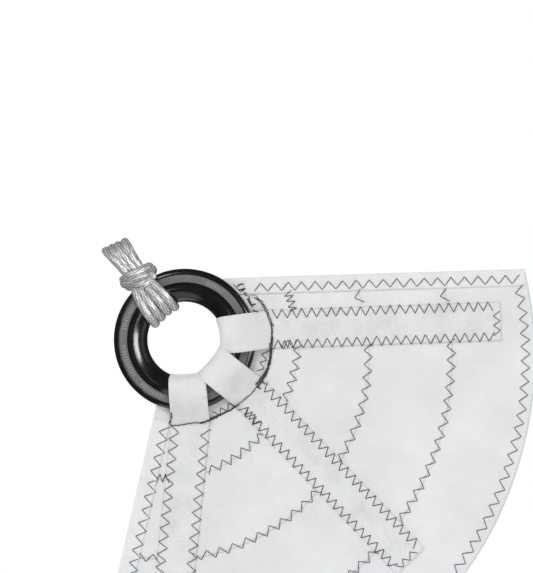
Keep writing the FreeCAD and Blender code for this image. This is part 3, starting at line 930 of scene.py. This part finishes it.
def inside_tapes(place, margin):
    for edge, width in ((TOP_EDGE, TOP_TAPE), (SIDE_EDGE, SIDE_TAPE)):
        foot, _, inward = edge_line(edge)
        if (place - foot) @ inward < width + margin:
            return True
    return False


def open_stretches(line):
    """The stretches of a line that no strap or tape covers."""
    stretches, now = [], []
    for place in line:
        if inside_straps(place, -1.5) or inside_tapes(place, -1.0):
            if len(now) > 4:
                stretches.append(now)
            now = []
        else:
            now.append(place)
    if len(now) > 4:
        stretches.append(now)
    return stretches


def arc_rows(face, rng):
    """Rows round the patches' edges and the cut edge, and two short ones by the cloth's inner edge."""
    rows = []
    for centre, radius in (*PATCHES.values(), (CORNER_CENTRE, CUT_RADIUS - 4.5)):
        for stretch in open_stretches(arc_line(radius - 0.6, 45, -130, centre, 420)):
            period = 7.3
            if radius == PATCHES["small"][1]:
                period = 3.1 if np.linalg.norm(stretch[-1] - stretch[0]) < 12 else 6.1
            rows.append(zigzag(stretch, 4.6, period, face, rng))
    for reach, first, last in ((43.1, -8, -25), (42.4, -53, -70)):
        rows.append(zigzag(arc_line(reach, first, last, count=40), 3.4, 4.6, face, rng))
    return rows


def strap_rows(face, rng):
    """On each strap's tail: a row along each edge and one over its end. Two roots also have a denser tack."""
    rows = []
    length, inset = TAIL_END - TAIL_ROOT, STRAP_WIDTH / 2 - 1.9
    for strap in STRAPS:
        root, along, across = tail_frame(strap)
        for side in (1, -1):
            first = root + across * side * inset
            line = [first + along * run for run in np.linspace(2.2, length - 2.4, 160)]
            rows.append(zigzag(line, 4.9, 6.8 if strap == "lower" else 5.2, face, rng, side > 0))
        if strap != "lower":
            tack = root - across * inset
            line = [tack + along * run for run in np.linspace(5.0, 15, 30)]
            rows.append(zigzag(line, 4.3, 3.1, face, rng))
        end = root + along * (length - 2.6)
        line = [end + across * run for run in np.linspace(-7.5, 7.5, 20)]
        rows.append(zigzag(line, 3.6, 5.2, face, rng))
    return rows


def tape_rows(face, rng):
    """One row along each edge tape, which starts clear of the whipping."""
    rows = []
    for edge, inset, width, period, clear in ((TOP_EDGE, 5.0, 4.5, 7.2, 3), (SIDE_EDGE, 7.0, 5.2, 7.1, 9)):
        foot, along, inward = edge_line(edge)
        start = leave(foot, along, (0, 0), TAPE_INNER + clear)
        end = leave(foot, along, CORNER_CENTRE, CUT_RADIUS - 2)
        line = [start + inward * inset + (end - start) * share for share in np.linspace(0, 1, 200)]
        rows.append(zigzag(line, width, period, face, rng))
    return rows


def make_machine_stitching(face, name):
    rng = random.Random(11 if face == FRONT else 12)
    for kind, rows in (("patch", arc_rows), ("strap", strap_rows), ("tape", tape_rows)):
        thread_piece(f"{kind}_stitching_{name}", rows(face, rng), MACHINE_THREAD, THREAD)


# ---------------------------------------------------------------- the hand whipping
# the whipping's azimuth and radius round the strap roots, from the top tape down to the side tape
WHIPPING = [
    (33, 42.4), (26, 44.4), (18, 45.6), (10, 46.1), (2, 45.6), (-5, 45.4), (-15, 46.3), (-24, 46.2),
    (-34, 45.0), (-44, 44.9), (-54, 44.2), (-64, 43.8), (-74, 44.1), (-84, 44.3), (-94, 45.3), (-100, 45.4),
]
# each strand's first and last azimuth, and how far outside that line it lies
STRANDS = [(32, -100, 0.0), (31, 8, 0.9), (11, -34, 0.5), (-2, -33, -0.5), (-6, -30, 0.2), (-50, -80, 0.4)]
# each loose end's azimuth, radius, length, and the way it leaves, from its azimuth
LOOSE_ENDS = [(-101, 45.4, 6.5, 150), (-27, 46.0, 3.0, -60), (-9, 45.6, 2.4, 60), (-33, 45.2, 2.6, -20)]


def curl(start, length, heading, turn, count):
    """Places along a short thread that turns as it goes."""
    return [start + polar(length * share, heading + turn * share) for share in np.linspace(0, 1, count)]


def whipping_strands(face, rng):
    """The strands side by side, the two that reach the top tape thinner than the rest, and loose ends."""
    azimuths = np.arange(33, -100.5, -0.8)
    known = np.array(WHIPPING[::-1])
    reach = np.interp(azimuths, known[:, 0], known[:, 1])
    thick, thin = [], []
    for number, (first, last, aside) in enumerate(STRANDS):
        chosen = (azimuths <= first) & (azimuths >= last)
        wander = np.array([rng.uniform(-1, 1) for _ in azimuths]) * (0.3 if number else 0.16)
        slow = 0.28 * np.sin(azimuths / (3.3 + number) + number) + aside
        radius = reach + wander + slow
        angle = np.radians(azimuths)
        places = np.column_stack([radius * np.cos(angle), radius * np.sin(angle)])[chosen]
        lift = 0.28 + 0.2 * np.array([rng.random() for _ in places]) + (0.15 if number else 0)
        (thin if number < 2 else thick).append(on_surface(places, face, lift))
    for azimuth, radius, length, turn in LOOSE_ENDS:
        places = curl(polar(radius, azimuth), length, azimuth + turn, 25, 8)
        thick.append(on_surface(places, face, np.full(8, 0.3)))
    return thick, thin


def hand_stitches(face, rng):
    """Short crossed stitches between the ring and the top tape."""
    stitches = []
    arch = 0.3 + 0.3 * np.sin(np.linspace(0, math.pi, 7))
    for count, azimuth in enumerate(np.arange(23.5, 45.5, 2.4)):
        start = polar(39.3 + rng.uniform(-0.3, 0.6), azimuth)
        heading = azimuth + (40 if count % 2 else -50) + rng.uniform(-25, 25)
        length, turn = rng.uniform(2.2, 3.6), rng.uniform(-50, 50)
        stitches.append(on_surface(curl(start, length, heading, turn, 7), face, arch))
    return stitches


def make_whipping(face, name):
    """Waxed hand thread round the strap roots, and the hand stitches beside it."""
    rng = random.Random(21 if face == FRONT else 22)
    thick, thin = whipping_strands(face, rng)
    whipping = thread_piece("whipping_thread_" + name, thick, WHIPPING_THREAD, WAXED)
    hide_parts("whipping_" + name)
    thread_piece("whipping_thin_thread_" + name, thin, THIN_THREAD, WAXED)
    thread_piece("hand_stitches_" + name, hand_stitches(face, rng), HAND_THREAD, WAXED)


for sign, side_name in ((FRONT, "front"), (BACK, "back")):
    make_machine_stitching(sign, side_name)
    make_whipping(sign, side_name)
